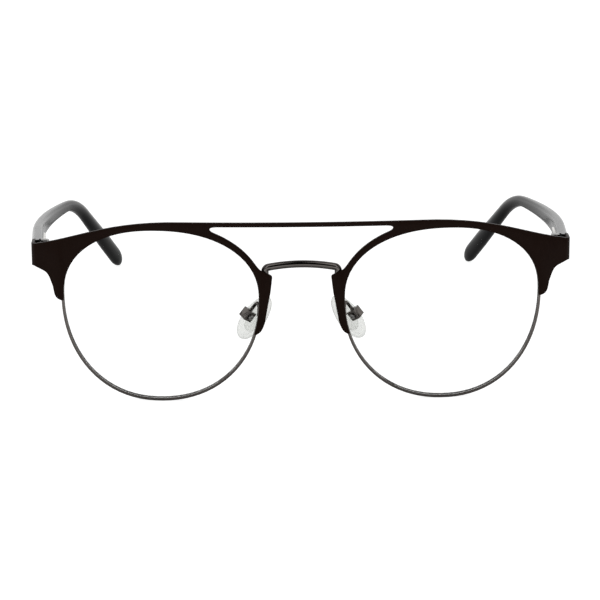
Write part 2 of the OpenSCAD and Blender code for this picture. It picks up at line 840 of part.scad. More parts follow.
module temple(side) {
    color([0.07, 0.07, 0.075])
        on_side(side)
            difference() {
                skin(RINGS);
                cube([far, pin_back - temple_lead, far]);
                translate([pin_x, pin_back, 0])
                    cylinder(r = notch_r, h = far, $fn = round_fn);
                cube([pin_x + notch_r, pin_back, far]);
                temple_frame() {
                    housing_body(seat_gap);
                    translate([-temple_t, -AHEAD, -housing_h / 2 - seat_gap])
                        cube([temple_t + rod_x + housing_w / 2 + seat_gap, AHEAD + housing_front + cut,
                            housing_h + 2 * seat_gap]);
                    translate([-temple_t, housing_front, -housing_h / 2 - seat_gap])
                        cube([temple_t + rod_x, housing_l - housing_h / 2, housing_h + 2 * seat_gap]);
                }
                skin([for (s = core_stations(2 * seat_gap)) bar_ring(s)]);
            }
}

brow_plate();
lower_bridge();
rim(LEFT);  // rim_left
rim(RIGHT);  // rim_right
lens(LEFT);  // lens_left
lens(RIGHT);  // lens_right
closing_block(LEFT);  // closing_block_left
closing_block(RIGHT);  // closing_block_right
closing_screw(LEFT);  // closing_screw_left
closing_screw(RIGHT);  // closing_screw_right
pad_arm(LEFT);  // pad_arm_left
pad_arm(RIGHT);  // pad_arm_right
pad_box(LEFT);  // pad_box_left
pad_box(RIGHT);  // pad_box_right
pad_screw(LEFT);  // pad_screw_left
pad_screw(RIGHT);  // pad_screw_right
pad_insert(LEFT);  // pad_insert_left
pad_insert(RIGHT);  // pad_insert_right
nose_pad(LEFT);  // nose_pad_left
nose_pad(RIGHT);  // nose_pad_right
front_hinge(LEFT);  // front_hinge_left
front_hinge(RIGHT);  // front_hinge_right
hinge_screw(LEFT);  // hinge_screw_left
hinge_screw(RIGHT);  // hinge_screw_right
spring_slider(LEFT);  // spring_slider_left
spring_slider(RIGHT);  // spring_slider_right
coil_spring(LEFT);  // coil_spring_left
coil_spring(RIGHT);  // coil_spring_right
spring_nut(LEFT);  // spring_nut_left
spring_nut(RIGHT);  // spring_nut_right
spring_housing(LEFT);  // spring_housing_left
spring_housing(RIGHT);  // spring_housing_right
temple_core(LEFT);  // temple_core_left
temple_core(RIGHT);  // temple_core_right
temple(LEFT);  // temple_left
temple(RIGHT);  // temple_right
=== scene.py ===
"""Looks of a round double-bridge eyeglass frame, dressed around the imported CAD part.

All places are in metres in the part's own frame: +Z is up, the front faces -Y and the temples
run back along +Y. Left is the wearer's left, at +X. Pieces are made for the left side and
mirrored for the right.
"""

import json
import math

import bmesh
import bpy
from mathutils import Matrix, Vector


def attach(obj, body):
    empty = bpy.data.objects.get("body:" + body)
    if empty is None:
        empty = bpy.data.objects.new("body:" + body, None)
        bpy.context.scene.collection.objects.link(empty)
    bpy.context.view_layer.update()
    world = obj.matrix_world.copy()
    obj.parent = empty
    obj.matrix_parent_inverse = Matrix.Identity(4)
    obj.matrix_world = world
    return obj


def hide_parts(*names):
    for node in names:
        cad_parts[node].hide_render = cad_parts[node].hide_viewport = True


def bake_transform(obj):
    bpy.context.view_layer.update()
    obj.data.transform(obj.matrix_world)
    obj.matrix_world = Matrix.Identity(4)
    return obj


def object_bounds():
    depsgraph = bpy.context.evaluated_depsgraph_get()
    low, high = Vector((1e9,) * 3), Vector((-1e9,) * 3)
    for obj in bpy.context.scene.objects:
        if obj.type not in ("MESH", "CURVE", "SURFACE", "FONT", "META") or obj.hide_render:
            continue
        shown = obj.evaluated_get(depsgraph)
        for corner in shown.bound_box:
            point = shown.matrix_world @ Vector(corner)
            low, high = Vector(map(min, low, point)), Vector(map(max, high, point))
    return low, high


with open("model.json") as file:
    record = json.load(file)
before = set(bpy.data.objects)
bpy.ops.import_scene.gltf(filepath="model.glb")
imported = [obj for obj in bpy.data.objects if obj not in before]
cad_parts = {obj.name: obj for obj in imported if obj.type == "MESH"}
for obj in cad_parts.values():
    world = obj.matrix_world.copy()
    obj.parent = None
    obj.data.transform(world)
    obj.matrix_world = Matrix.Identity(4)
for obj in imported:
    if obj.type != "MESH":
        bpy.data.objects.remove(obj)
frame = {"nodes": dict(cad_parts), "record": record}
cad_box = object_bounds()

MM = 0.001
SIDES = {"left": 1, "right": -1}
FRONT_Y = cad_box[0][1]
MM_FRONT = FRONT_Y / MM
SLOTS = {s["node"]: s["material_slot"] for s in frame["record"]["subparts"]}
BEHAVIOUR = frame["record"]["behaviour"]
BODIES = {node: body for body, nodes in BEHAVIOUR["bodies"].items() for node in nodes}
JOINT_PLACES = {j["name"]: Vector(j["pos_m"]) / MM for j in BEHAVIOUR["joints"] if "pos_m" in j}


# Camera

# The photograph's camera, found from the front's own edges: metres, radians and pixels, and the
# sensor in millimetres
CAMERA_DISTANCE = 0.7
CAMERA_ELEVATION = math.radians(16)
CAMERA_TURN = math.radians(1.043)
CAMERA_ROLL = math.radians(-0.367)
FOCAL_PIXELS = 2754.6
IMAGE_PIXELS = 600
SENSOR = 36
CLIP_START = 0.01
TARGET = Vector((0, FRONT_Y, 22.23 * MM))
TARGET_PIXEL = (302.05, 318.81)


def make_camera():
    data = bpy.data.cameras.new("camera")
    data.sensor_fit = "HORIZONTAL"
    data.sensor_width = SENSOR
    data.lens = FOCAL_PIXELS / IMAGE_PIXELS * SENSOR
    data.shift_x = (IMAGE_PIXELS / 2 - TARGET_PIXEL[0]) / IMAGE_PIXELS
    data.shift_y = (TARGET_PIXEL[1] - IMAGE_PIXELS / 2) / IMAGE_PIXELS
    data.clip_start = CLIP_START
    camera = bpy.data.objects.new("camera", data)
    bpy.context.scene.collection.objects.link(camera)
    out = CAMERA_DISTANCE * math.cos(CAMERA_ELEVATION)
    up = CAMERA_DISTANCE * math.sin(CAMERA_ELEVATION)
    place = TARGET + Vector((-out * math.sin(CAMERA_TURN), -out * math.cos(CAMERA_TURN), up))
    look = (TARGET - place).to_track_quat("-Z", "Y").to_matrix().to_4x4()
    camera.matrix_world = Matrix.Translation(place) @ look @ Matrix.Rotation(CAMERA_ROLL, 4, "Z")
    bpy.context.scene.camera = camera


# Node helpers

# Noise lies mostly between these two values
NOISE_LOW = 0.3
NOISE_HIGH = 0.7


def new_material(name):
    material = bpy.data.materials.new(name)
    material.use_nodes = True
    nodes = material.node_tree.nodes
    return material, nodes, material.node_tree.links, nodes["Principled BSDF"]


def noise(nodes, links, scale, detail, stretch=(1, 1, 1)):
    place = nodes.new("ShaderNodeTexCoord")
    mapping = nodes.new("ShaderNodeMapping")
    mapping.inputs["Scale"].default_value = stretch
    texture = nodes.new("ShaderNodeTexNoise")
    texture.inputs["Scale"].default_value = scale
    texture.inputs["Detail"].default_value = detail
    links.new(place.outputs["Object"], mapping.inputs["Vector"])
    links.new(mapping.outputs["Vector"], texture.inputs["Vector"])
    return texture.outputs["Fac"]


def ranged(nodes, links, value, low, high, start=NOISE_LOW, end=NOISE_HIGH):
    """A value that is low up to the start, high from the end on, and in proportion between them."""
    node = nodes.new("ShaderNodeMapRange")
    node.inputs["From Min"].default_value = start
    node.inputs["From Max"].default_value = end
    node.inputs["To Min"].default_value = low
    node.inputs["To Max"].default_value = high
    links.new(value, node.inputs["Value"])
    return node.outputs["Result"]


def smooth_range(nodes, links, value, low, high, start, end):
    """The same with an eased turn."""
    result = ranged(nodes, links, value, low, high, start, end)
    result.node.interpolation_type = "SMOOTHSTEP"
    return result


def combined(nodes, links, kind, first, second):
    node = nodes.new("ShaderNodeMath")
    node.operation = kind
    links.new(first, node.inputs[0])
    links.new(second, node.inputs[1])
    return node.outputs["Value"]


def towards_level(nodes, links, share, value, level):
    """A value that turns into a fixed level as the share goes from 0 to 1."""
    node = nodes.new("ShaderNodeMix")
    node.data_type = "FLOAT"
    node.inputs["B"].default_value = level
    links.new(share, node.inputs["Factor"])
    links.new(value, node.inputs["A"])
    return node.outputs["Result"]


def mixed(nodes, links, value, first, second):
    """A colour that turns from the first into the second as the value goes from 0 to 1."""
    node = nodes.new("ShaderNodeMix")
    node.data_type = "RGBA"
    node.inputs["A"].default_value = (*first, 1)
    node.inputs["B"].default_value = (*second, 1)
    links.new(value, node.inputs["Factor"])
    return node.outputs["Result"]


def bumped(nodes, links, shader, value, depth):
    node = nodes.new("ShaderNodeBump")
    node.inputs["Distance"].default_value = depth
    links.new(value, node.inputs["Height"])
    links.new(node.outputs["Normal"], shader.inputs["Normal"])


def mixed_surface(nodes, links, share, first, second):
    """The material's surface turns from the first shader into the second as the share goes from 0 to 1."""
    mix = nodes.new("ShaderNodeMixShader")
    links.new(share, mix.inputs["Fac"])
    links.new(first.outputs["BSDF"], mix.inputs[1])
    links.new(second.outputs["BSDF"], mix.inputs[2])
    links.new(mix.outputs["Shader"], nodes["Material Output"].inputs["Surface"])


# Materials

# Cloudy noise mixes each pair of colours. Its scales are in waves per metre, and reliefs in metres
RELIEF = 0.002 * MM
PAINT_COLOURS = ((0.0125, 0.0047, 0.0025), (0.0165, 0.0064, 0.0036))
PAINT_ROUGH = (0.36, 0.46)
PAINT_SPECULAR = 0.07
# Shares of a metal's roughness between which its polishing lines go up and down
POLISH = (0.88, 1.12)
GUNMETAL_COLOURS = ((0.115, 0.104, 0.097), (0.15, 0.137, 0.128))
SCREW_COLOURS = ((0.34, 0.333, 0.325), (0.43, 0.422, 0.412))
HINGE_COLOURS = ((0.58, 0.57, 0.545), (0.7, 0.69, 0.665))
PLASTIC_COLOURS = ((0.0035, 0.0036, 0.0038), (0.006, 0.0062, 0.0065))
PLASTIC_ROUGH = (0.14, 0.19)
PLASTIC_SPECULAR = 0.1
# The clear ones have a tint as well, for the light that passes through
INSERT_TONES = (((0.8, 0.81, 0.785), (0.86, 0.87, 0.845)), (0.985, 0.987, 0.982))
SILICONE_TONES = (((0.74, 0.745, 0.71), (0.82, 0.825, 0.79)), (0.965, 0.968, 0.958))
CLEAR_IOR = 1.41
CLEAR_RELIEF = 0.004 * MM
# How rough the roughest places are, and how clear the steepest views, as shares of the plain values
CLOUD_ROUGH = 1.4
EDGE_CLEAR = 0.45
# Facing reads 0 for a square view and 1 for a grazing one
EDGE_BLEND = 0.3
EDGE_FROM = 0.1
LENS_TINT = (0.99, 0.993, 0.992)
LENS_ROUGH = (0.01, 0.03)
LENS_EDGE_GLOSS = 0.6
LENS_GLOSS_POWER = 3


def paint_material():
    """Satin baked paint: very dark brown, faintly mottled, with a fine orange peel."""
    material, nodes, links, shader = new_material("dark_paint")
    tone = noise(nodes, links, scale=260, detail=4)
    grain = noise(nodes, links, scale=4200, detail=2)
    links.new(mixed(nodes, links, tone, *PAINT_COLOURS), shader.inputs["Base Color"])
    links.new(ranged(nodes, links, grain, *PAINT_ROUGH), shader.inputs["Roughness"])
    bumped(nodes, links, shader, grain, RELIEF)
    shader.inputs["Specular IOR Level"].default_value = PAINT_SPECULAR
    return material


def metal_material(name, colours, rough, stretch):
    """Metal with soft changes of tone, and polishing lines that are seen only in its gloss."""
    material, nodes, links, shader = new_material(name)
    tone = noise(nodes, links, scale=300, detail=3)
    lines = noise(nodes, links, scale=900, detail=2, stretch=stretch)
    links.new(mixed(nodes, links, tone, *colours), shader.inputs["Base Color"])
    links.new(ranged(nodes, links, lines, rough * POLISH[0], rough * POLISH[1]), shader.inputs["Roughness"])
    bumped(nodes, links, shader, noise(nodes, links, scale=150, detail=1), RELIEF)
    shader.inputs["Metallic"].default_value = 1
    return material


def plastic_material():
    """Polished black temple plastic, with a faint grey cloud and hairline scuffs in its gloss."""
    material, nodes, links, shader = new_material("black_plastic")
    tone = noise(nodes, links, scale=120, detail=4)
    scuffs = noise(nodes, links, scale=240, detail=3, stretch=(1, 0.1, 1))
    waves = noise(nodes, links, scale=90, detail=1)
    links.new(mixed(nodes, links, tone, *PLASTIC_COLOURS), shader.inputs["Base Color"])
    links.new(ranged(nodes, links, scuffs, *PLASTIC_ROUGH), shader.inputs["Roughness"])
    bumped(nodes, links, shader, waves, RELIEF)
    shader.inputs["Specular IOR Level"].default_value = PLASTIC_SPECULAR
    return material


def clear_material(name, colours, tint, clear, rough):
    """Clear, slightly milky plastic or silicone: a share of the light passes straight through."""
    material, nodes, links, shader = new_material(name)
    cloud = noise(nodes, links, scale=420, detail=3)
    links.new(mixed(nodes, links, cloud, *colours), shader.inputs["Base Color"])
    links.new(ranged(nodes, links, cloud, rough, rough * CLOUD_ROUGH), shader.inputs["Roughness"])
    bumped(nodes, links, shader, cloud, CLEAR_RELIEF)
    shader.inputs["IOR"].default_value = CLEAR_IOR
    through = nodes.new("ShaderNodeBsdfTransparent")
    through.inputs["Color"].default_value = (*tint, 1)
    # Steep views pass through more of the wall, so edges look denser than the middle
    facing = nodes.new("ShaderNodeLayerWeight")
    facing.inputs["Blend"].default_value = EDGE_BLEND
    share = ranged(nodes, links, facing.outputs["Facing"], clear, clear * EDGE_CLEAR, EDGE_FROM, 1)
    mixed_surface(nodes, links, share, shader, through)
    return material


def lens_material():
    """Clear coated lens: light passes straight through, with a gloss that grows towards grazing views."""
    material, nodes, links, _ = new_material("clear_lens")
    clear = nodes.new("ShaderNodeBsdfTransparent")
    clear.inputs["Color"].default_value = (*LENS_TINT, 1)
    gloss = nodes.new("ShaderNodeBsdfGlossy")
    # Facing reads alike from both sides of the surface, which Fresnel doesn't
    facing = nodes.new("ShaderNodeLayerWeight")
    steep = nodes.new("ShaderNodeMath")
    steep.operation = "POWER"
    steep.inputs[1].default_value = LENS_GLOSS_POWER
    links.new(facing.outputs["Facing"], steep.inputs[0])
    edge = ranged(nodes, links, steep.outputs["Value"], 0, LENS_EDGE_GLOSS, 0, 1)
    film = noise(nodes, links, scale=60, detail=2)
    links.new(ranged(nodes, links, film, *LENS_ROUGH), gloss.inputs["Roughness"])
    mixed_surface(nodes, links, edge, clear, gloss)
    return material


MATERIALS = {
    "dark_paint": paint_material(),
    "gunmetal": metal_material("gunmetal", GUNMETAL_COLOURS, rough=0.12, stretch=(1, 1, 5)),
    "screw_steel": metal_material("screw_steel", SCREW_COLOURS, rough=0.26, stretch=(1, 1, 1)),
    "hinge_steel": metal_material("hinge_steel", HINGE_COLOURS, rough=0.3, stretch=(1, 0.1, 1)),
    "clear_lens": lens_material(),
    "clear_plastic": clear_material("clear_plastic", *INSERT_TONES, clear=0.95, rough=0.14),
    "clear_silicone": clear_material("clear_silicone", *SILICONE_TONES, clear=0.83, rough=0.24),
    "black_plastic": plastic_material(),
}


# Floor, world and lamps

FLOOR_SIZE = 6
FLOOR_Z = -0.05 * MM
FLOOR_ROUGH = 0.9
FLOOR_COLOURS = ((0.49, 0.49, 0.49), (0.51, 0.51, 0.51))
FLOOR_GLOW = 0.88
# In reflections the floor turns white between these distances from the object, in metres
GLOW_FROM = 0.06
GLOW_FULL = 0.21


def make_floor():
    """A pale floor that is white to the camera and keeps a soft shadow."""
    bpy.ops.mesh.primitive_plane_add(size=FLOOR_SIZE, location=(0, 0, FLOOR_Z))
    floor = bpy.context.object
    floor.name = "floor"
    material, nodes, links, shader = new_material("floor_paper")
    shader.inputs["Roughness"].default_value = FLOOR_ROUGH
    shader.inputs["Specular IOR Level"].default_value = 0
    tone = noise(nodes, links, scale=8, detail=2)
    links.new(mixed(nodes, links, tone, *FLOOR_COLOURS), shader.inputs["Base Color"])
    light = nodes.new("ShaderNodeEmission")
    add = nodes.new("ShaderNodeAddShader")
    glow = ranged(nodes, links, background_rays(nodes, links), 0, FLOOR_GLOW, 0, 1)
    links.new(glow, light.inputs["Strength"])
    links.new(shader.outputs["BSDF"], add.inputs[0])
    links.new(light.outputs["Emission"], add.inputs[1])
    links.new(add.outputs["Shader"], nodes["Material Output"].inputs["Surface"])
    floor.data.materials.append(material)


def background_rays(nodes, links):
    """1 for camera rays, and away from the object also for glossy and transmission rays."""
    place = nodes.new("ShaderNodeTexCoord")
    away = nodes.new("ShaderNodeVectorMath")
    away.operation = "LENGTH"
    links.new(place.outputs["Object"], away.inputs[0])
    outside = ranged(nodes, links, away.outputs["Value"], 0, 1, GLOW_FROM, GLOW_FULL)
    rays = nodes.new("ShaderNodeLightPath").outputs
    reflected = combined(nodes, links, "MAXIMUM", rays["Is Glossy Ray"], rays["Is Transmission Ray"])
    far_off = combined(nodes, links, "MULTIPLY", reflected, outside)
    return combined(nodes, links, "MAXIMUM", far_off, rays["Is Camera Ray"])


# The studio is bright behind and beside the object, dimmer in front and overhead, and dark where
# the photographer stands
BRIGHT_BACK = 1.15
FRONT_LEVEL = 0.36
DARK_LEVEL = 0.01
OVERHEAD_SHARE = 0.3
# How much a direction to the side counts as one to the back
SIDE_WEIGHT = 0.7
# Parts of a unit direction over which the brightness turns: sideways, backwards and up
DARK_TO_FRONT = (0.07, 0.3)
FRONT_TO_BACK = (0.05, 0.6)
AROUND_TO_OVERHEAD = (0.3, 0.75)
# Places and sizes in metres, power in watts
LAMP_AIM = (0, 0, 0.03)
LAMPS = {
    "overhead_left": ((0.43, 0.35, 1.1), (0.56, 0.8), 0.5),
    "overhead_right": ((-0.43, 0.35, 1.1), (0.56, 0.8), 0.5),
    "key_left": ((0.36, -0.75, 0.85), (0.3, 1.2), 1.5),
    "key_right": ((-0.36, -0.75, 0.85), (0.3, 1.2), 1.5),
}


def make_world():
    """The studio as the object is lit by it and reflects it; the camera sees plain white."""
    world = bpy.data.worlds.new("studio")
    bpy.context.scene.world = world
    world.use_nodes = True
    nodes = world.node_tree.nodes
    links = world.node_tree.links
    background = nodes["Background"]
    background.inputs["Color"].default_value = (1, 1, 1, 1)
    place = nodes.new("ShaderNodeTexCoord")
    parts = nodes.new("ShaderNodeSeparateXYZ")
    links.new(place.outputs["Generated"], parts.inputs["Vector"])
    across = nodes.new("ShaderNodeMath")
    across.operation = "ABSOLUTE"
    links.new(parts.outputs["X"], across.inputs[0])
    sideways = across.outputs["Value"]
    front = smooth_range(nodes, links, sideways, DARK_LEVEL, FRONT_LEVEL, *DARK_TO_FRONT)
    backward = nodes.new("ShaderNodeMath")
    backward.operation = "MULTIPLY_ADD"
    backward.inputs[1].default_value = SIDE_WEIGHT
    links.new(sideways, backward.inputs[0])
    links.new(parts.outputs["Y"], backward.inputs[2])
    behind = smooth_range(nodes, links, backward.outputs["Value"], 0, 1, *FRONT_TO_BACK)
    around = towards_level(nodes, links, behind, front, BRIGHT_BACK)
    overhead = smooth_range(nodes, links, parts.outputs["Z"], 1, OVERHEAD_SHARE, *AROUND_TO_OVERHEAD)
    studio = combined(nodes, links, "MULTIPLY", around, overhead)
    path = nodes.new("ShaderNodeLightPath")
    seen = towards_level(nodes, links, path.outputs["Is Camera Ray"], studio, 1)
    links.new(seen, background.inputs["Strength"])


def make_lamp(name, place, size, power):
    data = bpy.data.lights.new(name, "AREA")
    data.shape = "RECTANGLE"
    data.size, data.size_y = size
    data.energy = power
    lamp = bpy.data.objects.new(name, data)
    bpy.context.scene.collection.objects.link(lamp)
    lamp.location = place
    lamp.rotation_euler = (Vector(LAMP_AIM) - Vector(place)).to_track_quat("-Z", "Y").to_euler()


# Mesh helpers, with all lengths in millimetres

# Edges turn sharp in the shading where the surface turns by more degrees than this
SHARP = 35
SOFT_EDGE = 0.06
WELD_GAP = 0.001
# Turns a prism so that its outline lies in x and y and its length runs along z
UPRIGHT = Matrix(((0, 1, 0, 0), (0, 0, 1, 0), (1, 0, 0, 0), (0, 0, 0, 1)))


def new_object(name, points, faces, sharp=SHARP):
    """A mesh object from points in millimetres."""
    mesh = bpy.data.meshes.new(name)
    mesh.from_pydata([tuple(MM * c for c in p) for p in points], [], faces)
    finish_mesh(mesh, sharp)
    result = bpy.data.objects.new(name, mesh)
    bpy.context.scene.collection.objects.link(result)
    return result


def mesh_piece(name, points, faces, node, sharp=SHARP, rides=True):
    """A piece that replaces a CAD node and takes its slot. It rides on the node's body, or is left
    unattached.
    """
    piece = new_object(name, points, faces, sharp)
    piece.data.materials.append(MATERIALS[SLOTS[node]])
    if rides:
        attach(piece, BODIES[node])
    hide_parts(node)
    return piece


def finish_mesh(mesh, sharp):
    """Normals outwards, smooth shading, and sharp edges where the surface turns by more than the angle."""
    work = bmesh.new()
    work.from_mesh(mesh)
    bmesh.ops.recalc_face_normals(work, faces=work.faces)
    work.to_mesh(mesh)
    work.free()
    mesh.polygons.foreach_set("use_smooth", [True] * len(mesh.polygons))
    mesh.set_sharp_from_angle(angle=math.radians(sharp))


def loft(rings):
    """Points and faces of a closed tube through rings that all have the same count of points."""
    count = len(rings[0])
    points = [p for ring in rings for p in ring]
    faces = []
    for i in range(len(rings) - 1):
        for j in range(count):
            k = (j + 1) % count
            faces.append((i * count + j, i * count + k, (i + 1) * count + k, (i + 1) * count + j))
    faces.append(tuple(range(count)))
    faces.append(tuple(range((len(rings) - 1) * count, len(rings) * count)))
    return points, faces


def mirrored(points, side):
    """Points that were made for the left side, moved to a side."""
    return [Vector((SIDES[side] * p.x, p.y, p.z)) for p in points]


def heading(path, i):
    """Direction of a path at one of its points."""
    return (path[min(i + 1, len(path) - 1)] - path[max(i - 1, 0)]).normalized()


def round_rings(path, radius_at, across, count):
    """Round rings along a path, whose radius comes from the share of the path that is done."""
    rings = []
    for i, place in enumerate(path):
        way = heading(path, i)
        u = way.cross(across).normalized()
        v = u.cross(way)
        r = radius_at(i / (len(path) - 1))
        angles = [2 * math.pi * j / count for j in range(count)]
        rings.append([place + r * (math.cos(a) * u + math.sin(a) * v) for a in angles])
    return rings


def smooth_curve(points, steps):
    """Smooth curve through a few points, with a number of steps between neighbours."""
    out = []
    last = len(points) - 1
    for i in range(last):
        a, b = points[max(i - 1, 0)], points[i]
        c, d = points[i + 1], points[min(i + 2, last)]
        for j in range(steps):
            t = j / steps
            out.append(0.5 * (2 * b + (c - a) * t + (2 * a - 5 * b + 4 * c - d) * t ** 2
                              + (3 * b - a - 3 * c + d) * t ** 3))
    return out + [points[-1]]


def cut_away(piece, points, faces):
    """Takes a solid away from a piece for good."""
    cutter = new_object("cutter", points, faces)
    step = piece.modifiers.new("cut", "BOOLEAN")
    step.operation = "DIFFERENCE"
    step.solver = "EXACT"
    step.object = cutter
    graph = bpy.context.evaluated_depsgraph_get()
    result = bpy.data.meshes.new_from_object(piece.evaluated_get(graph))
    piece.modifiers.clear()
    piece.data = result
    bpy.data.objects.remove(cutter)


def prism(outline, low, high, place):
    """Points and faces of a prism that a matrix sets down: an outline in y and z, from x = low to high."""
    count = len(outline)
    points = [place @ Vector((x, y, z)) for x in (low, high) for y, z in outline]
    faces = [(j, (j + 1) % count, count + (j + 1) % count, count + j) for j in range(count)]
    faces.append(tuple(range(count)))
    faces.append(tuple(range(count, 2 * count)))
    return points, faces


def soften(piece):
    """Rounds a piece's sharp edges a little, so that they catch the light, and shades its curves smooth."""
    piece.data.polygons.foreach_set("use_smooth", [True] * len(piece.data.polygons))
    weld = piece.modifiers.new("weld", "WELD")
    weld.merge_threshold = WELD_GAP * MM
    edge = piece.modifiers.new("edge", "BEVEL")
    edge.width = SOFT_EDGE * MM
    edge.segments = 2
    edge.limit_method = "ANGLE"
    edge.angle_limit = math.radians(SHARP)
    edge.use_clamp_overlap = True
    edge.harden_normals = True


# Temples

TEMPLE_SLOPE = math.radians(5.7)
TIP_SLOPE = math.radians(35.6)
TEMPLE_SPLAY = math.radians(4)
TIP_TURN = math.radians(15)
BEND_BACK = 87.5
BEND_R = 37
CURVE_FROM = 22
CURVE_L = 71
TEMPLE_IN = 1.9
TEMPLE_LEAD = 1.2
# Thickness and height by depth behind the pin: at the hinge, before the ear and at the tip
HINGE_SIZE = (3.1, 5.4)
WAIST_SIZE = (2.4, 3.0)
TIP_SIZE = (3.2, 5.0)
TIP_FULL = 9
END_L = 6.5
# Depths behind the pin where the size turns, and how far the waist lies ahead of the bend
STRONG_TO = 24
SLIM_FROM = 60
WAIST_AHEAD = 8
# At the first of these depths it is lower than at the pin, at the second thicker than at the waist
STRONG_LOWER = 0.3
SLIM_THICKER = 0.2
# How far behind the bend the section has become nearly an oval
OVAL_AFTER = 10
# How square the temple's section is; 1 is a plain oval
SQUARE = 0.62
TIP_SQUARE = 0.95
TEMPLE_STATIONS = 96
TEMPLE_SIDES = 40
END_STEPS = 16
# How far the rounded end is turned: just short of a point
END_TURN = 86
TEMPLE_SHARP = 40
# The shell starts this far ahead of the pin, and the front cutter shortens it to TEMPLE_LEAD
AHEAD = 4
# A first length behind the bend, from which the real one follows
FIRST_TIP = 26
NOTCH_R = 1.5
NOTCH_STEPS = 24
# Ahead of this depth the notch is open to the inside
NOTCH_OPEN = -1
ROD_X = 1
POCKET_BACK = 20.6
POCKET_AHEAD = 6
POCKET_W = 2.24
POCKET_H = 2.94
POCKET_STEPS = 16
# A length past the whole hinge end, for cutters
PAST = 20


def between(value, places, sizes):
    """Straight-line reading of a table of places and sizes."""
    if value <= places[0]:
        return sizes[0]
    for i in range(len(places) - 1):
        if value <= places[i + 1]:
            share = (value - places[i]) / (places[i + 1] - places[i])
            return sizes[i] + (sizes[i + 1] - sizes[i]) * share
    return sizes[-1]


def temple_middle(back, pin):
    """Middle line of the left temple at a depth behind the pin."""
    run = min(max(back - CURVE_FROM, 0), CURVE_L)
    inward = math.tan(TIP_TURN) + math.tan(TEMPLE_SPLAY)
    x = TEMPLE_IN + back * math.tan(TEMPLE_SPLAY)
    x -= inward * (run * run / (2 * CURVE_L) + max(back - CURVE_FROM - CURVE_L, 0))
    tangent = BEND_R * math.tan((TIP_SLOPE - TEMPLE_SLOPE) / 2)
    bend_from = BEND_BACK - tangent * math.cos(TEMPLE_SLOPE)
    bend_to = BEND_BACK + tangent * math.cos(TIP_SLOPE)
    if back < bend_from:
        z = -back * math.tan(TEMPLE_SLOPE)
    elif back > bend_to:
        z = -BEND_BACK * math.tan(TEMPLE_SLOPE) - (back - BEND_BACK) * math.tan(TIP_SLOPE)
    else:
        centre = bend_from - BEND_R * math.sin(TEMPLE_SLOPE)
        low = -bend_from * math.tan(TEMPLE_SLOPE) - BEND_R * math.cos(TEMPLE_SLOPE)
        z = low + math.sqrt(BEND_R ** 2 - (back - centre) ** 2)
    return pin + Vector((x, back, z))


def temple_size(back, last):
    """Thickness, height and squareness of the temple at a depth behind the pin."""
    waist = BEND_BACK - WAIST_AHEAD
    tip = last - TIP_FULL
    thick = between(back, (0, STRONG_TO, SLIM_FROM, waist, tip, last),
                    (HINGE_SIZE[0], HINGE_SIZE[0], WAIST_SIZE[0] + SLIM_THICKER, WAIST_SIZE[0],
                     TIP_SIZE[0], TIP_SIZE[0]))
    high = between(back, (0, STRONG_TO, waist, tip, last),
                   (HINGE_SIZE[1], HINGE_SIZE[1] - STRONG_LOWER, WAIST_SIZE[1], TIP_SIZE[1], TIP_SIZE[1]))
    square = between(back, (SLIM_FROM, BEND_BACK + OVAL_AFTER), (SQUARE, TIP_SQUARE))
    return thick, high, square


def temple_ring(place, way, thick, high, square):
    """Rounded oblong ring across the temple, of a thickness, a height and a squareness."""
    u = way.cross(Vector((0, 0, 1))).normalized()
    v = u.cross(way)
    ring = []
    for j in range(TEMPLE_SIDES):
        angle = 2 * math.pi * (j + 0.5) / TEMPLE_SIDES
        c, s = (math.copysign(abs(part) ** square, part) for part in (math.cos(angle), math.sin(angle)))
        ring.append(place + c * thick / 2 * u + s * high / 2 * v)
    return ring


def temple_rings(pin, last):
    """Rings of the whole left temple, whose rounded end follows on a last depth."""
    depths = [-AHEAD + (last + AHEAD) * i / TEMPLE_STATIONS for i in range(TEMPLE_STATIONS + 1)]
    path = [temple_middle(back, pin) for back in depths]
    rings = [temple_ring(place, heading(path, i), *temple_size(depths[i], last))
             for i, place in enumerate(path)]
    way = heading(path, len(path) - 1)
    thick, high, square = temple_size(last, last)
    for k in range(1, END_STEPS + 1):
        angle = math.radians(END_TURN * k / END_STEPS)
        rings.append(temple_ring(path[-1] + way * END_L * math.sin(angle), way,
                                 thick * math.cos(angle), high * math.cos(angle), square))
    return rings


def temple(side):
    """Moulded temple with its pocket for the spring housing and its notch round the hinge's knuckles."""
    pin = JOINT_PLACES["temple_fold_left"]
    first = BEND_BACK + FIRST_TIP
    lowest = min(p.z for ring in temple_rings(pin, first) for p in ring)
    points, faces = loft(temple_rings(pin, first + lowest / math.tan(TIP_SLOPE)))
    piece = mesh_piece("temple_shell_" + side, mirrored(points, side), faces, "temple_" + side,
                       TEMPLE_SHARP)
    for cutter in (front_cutter(pin), notch_cutter(pin), pocket_cutter(pin)):
        cut_away(piece, mirrored(cutter[0], side), cutter[1])
    piece.data.set_sharp_from_angle(angle=math.radians(TEMPLE_SHARP))
    return piece


def front_cutter(pin):
    """All that lies ahead of the temple's front end."""
    box = [(-PAST, -PAST), (-TEMPLE_LEAD, -PAST), (-TEMPLE_LEAD, PAST), (-PAST, PAST)]
    return prism(box, -PAST, PAST, Matrix.Translation(pin))


def notch_cutter(pin):
    """Room for the knuckles: a round end behind the pin, open to the front and the inside."""
    outline = [(-PAST, -PAST), (NOTCH_R, -PAST), (NOTCH_R, 0)]
    for i in range(1, NOTCH_STEPS + 1):
        angle = math.radians(180 * i / NOTCH_STEPS)
        outline.append((NOTCH_R * math.cos(angle), NOTCH_R * math.sin(angle)))
    outline += [(-NOTCH_R, NOTCH_OPEN), (-PAST, NOTCH_OPEN)]
    return prism(outline, -PAST, PAST, Matrix.Translation(pin) @ UPRIGHT)


